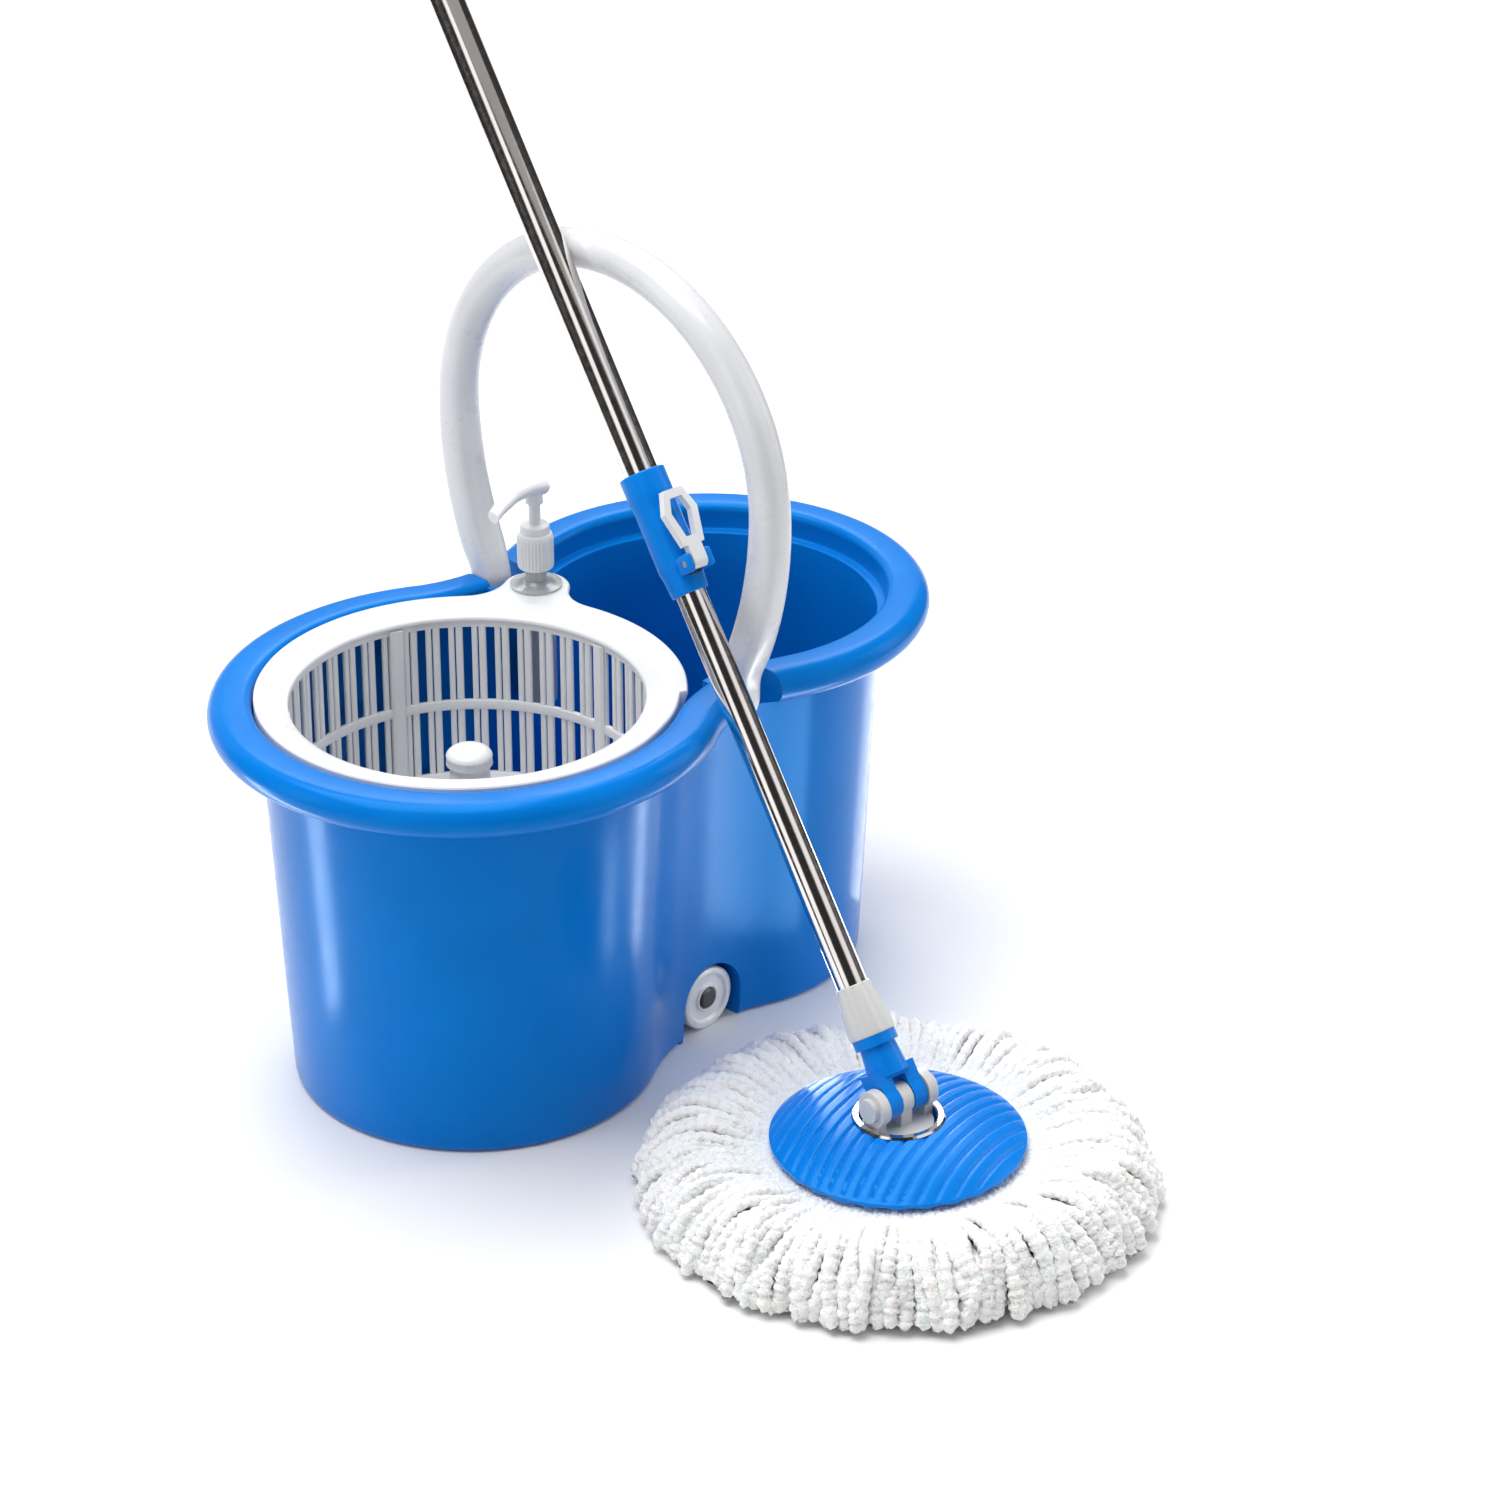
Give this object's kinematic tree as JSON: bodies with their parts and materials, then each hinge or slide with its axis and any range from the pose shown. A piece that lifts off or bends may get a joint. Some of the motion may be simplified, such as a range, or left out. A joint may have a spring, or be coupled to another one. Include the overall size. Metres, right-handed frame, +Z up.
{
  "type": "spin mop set",
  "caption": "Two-lobed wringer bucket with a spinning slatted basket, soap pump, carry handle and wheels, and a jointed telescopic mop with a round microfibre head.",
  "frame": {"origin": "on the floor under the bucket, on its base between the two lobes", "axes": "+X from the basket lobe to the rinse lobe, -Y towards the side the mop stands on, +Z up"},
  "size_m": [0.4766, 0.7787, 0.9243],
  "materials": {
    "blue_plastic": "glossy",
    "white_plastic": "satin gloss",
    "grey_plastic": "satin",
    "dark_plastic": "matte",
    "clear_plastic": "clear",
    "polished_steel": "polished",
    "plain_steel": "plain",
    "microfibre": "soft strands"
  },
  "bodies": {
    "bucket": {"bucket_shell": "blue_plastic", "bearing_cup": "grey_plastic", "handle_pin_front": "white_plastic", "handle_pin_back": "white_plastic", "wheel_axle_front": "dark_plastic", "wheel_axle_back": "dark_plastic"},
    "handle": {"handle_arch": "white_plastic"},
    "wheel_near": {"wheel_front": "white_plastic"},
    "wheel_far": {"wheel_back": "white_plastic"},
    "tray": {"splash_tray": "white_plastic", "retaining_ring": "white_plastic", "tray_screw_a": "plain_steel", "tray_screw_b": "plain_steel", "tray_screw_c": "plain_steel", "tray_screw_d": "plain_steel", "soap_bottle": "clear_plastic", "pump_collar": "white_plastic", "pump_housing": "white_plastic", "dip_tube": "clear_plastic", "pump_spring": "plain_steel"},
    "pump": {"pump_head": "white_plastic", "pump_stem": "white_plastic", "pump_piston": "grey_plastic"},
    "basket": {"basket_cage": "white_plastic", "basket_hub": "white_plastic", "spindle_pin": "plain_steel"},
    "swivel": {"hinge_base": "grey_plastic", "swivel_axle": "plain_steel", "hinge_pin": "plain_steel", "pin_cap_left": "grey_plastic", "pin_cap_right": "grey_plastic"},
    "mop_head": {"mop_plate": "blue_plastic", "trim_ring": "polished_steel", "pad_ring": "white_plastic", "mop_pad": "microfibre"},
    "pole_lower": {"yoke": "blue_plastic", "collar_nut": "grey_plastic", "lower_tube": "polished_steel", "guide_bush": "dark_plastic"},
    "pole_upper": {"upper_tube": "polished_steel", "clamp_sleeve": "blue_plastic", "clamp_pad": "dark_plastic", "grip": "blue_plastic", "end_cap": "blue_plastic"},
    "lever": {"clamp_lever": "white_plastic", "lever_pin": "plain_steel"}
  },
  "joints": [
    {"name": "handle_swing", "type": "hinge", "parent": "bucket", "child": "handle", "pos_m": [0.016, 0, 0.232], "axis": [0, 1, 0], "range_deg": [0, 20]},
    {"name": "wheel_near_roll", "type": "hinge", "parent": "bucket", "child": "wheel_near", "pos_m": [0.016, -0.0705, 0.0205], "axis": [0, 1, 0], "continuous": true},
    {"name": "wheel_far_roll", "type": "hinge", "parent": "bucket", "child": "wheel_far", "pos_m": [0.016, 0.0705, 0.0205], "axis": [0, 1, 0], "continuous": true},
    {"name": "tray_lift", "type": "slide", "parent": "bucket", "child": "tray", "axis": [0, 0, 1], "range_m": [0, 0.045]},
    {"name": "basket_spin", "type": "hinge", "parent": "tray", "child": "basket", "pos_m": [-0.101, 0, 0.15], "axis": [0, 0, 1], "continuous": true},
    {"name": "pump_press", "type": "slide", "parent": "tray", "child": "pump", "axis": [0, 0, 1], "range_m": [-0.012, 0], "stiffness_N_per_m": 250, "springref_m": 0.01, "deforming": ["pump_spring"]},
    {"name": "mop_lift", "type": "slide", "parent": "bucket", "child": "swivel", "axis": [0, -0.6, 0.8], "range_m": [0, 0.45]},
    {"name": "head_spin", "type": "hinge", "parent": "swivel", "child": "mop_head", "pos_m": [-0.04, -0.278, 0.04], "axis": [0, 0, 1], "continuous": true},
    {"name": "pole_tilt", "type": "hinge", "parent": "swivel", "child": "pole_lower", "pos_m": [-0.04, -0.278, 0.062], "axis": [0.9938, -0.1115, 0], "range_deg": [0, 90]},
    {"name": "pole_extend", "type": "slide", "parent": "pole_lower", "child": "pole_upper", "axis": [0.0658, 0.5869, 0.807], "range_m": [-0.23, 0.1]},
    {"name": "lever_open", "type": "hinge", "parent": "pole_upper", "child": "lever", "pos_m": [-0.02051, -0.10422, 0.33056], "axis": [0.9938, -0.1115, 0], "range_deg": [0, 110]}
  ]
}
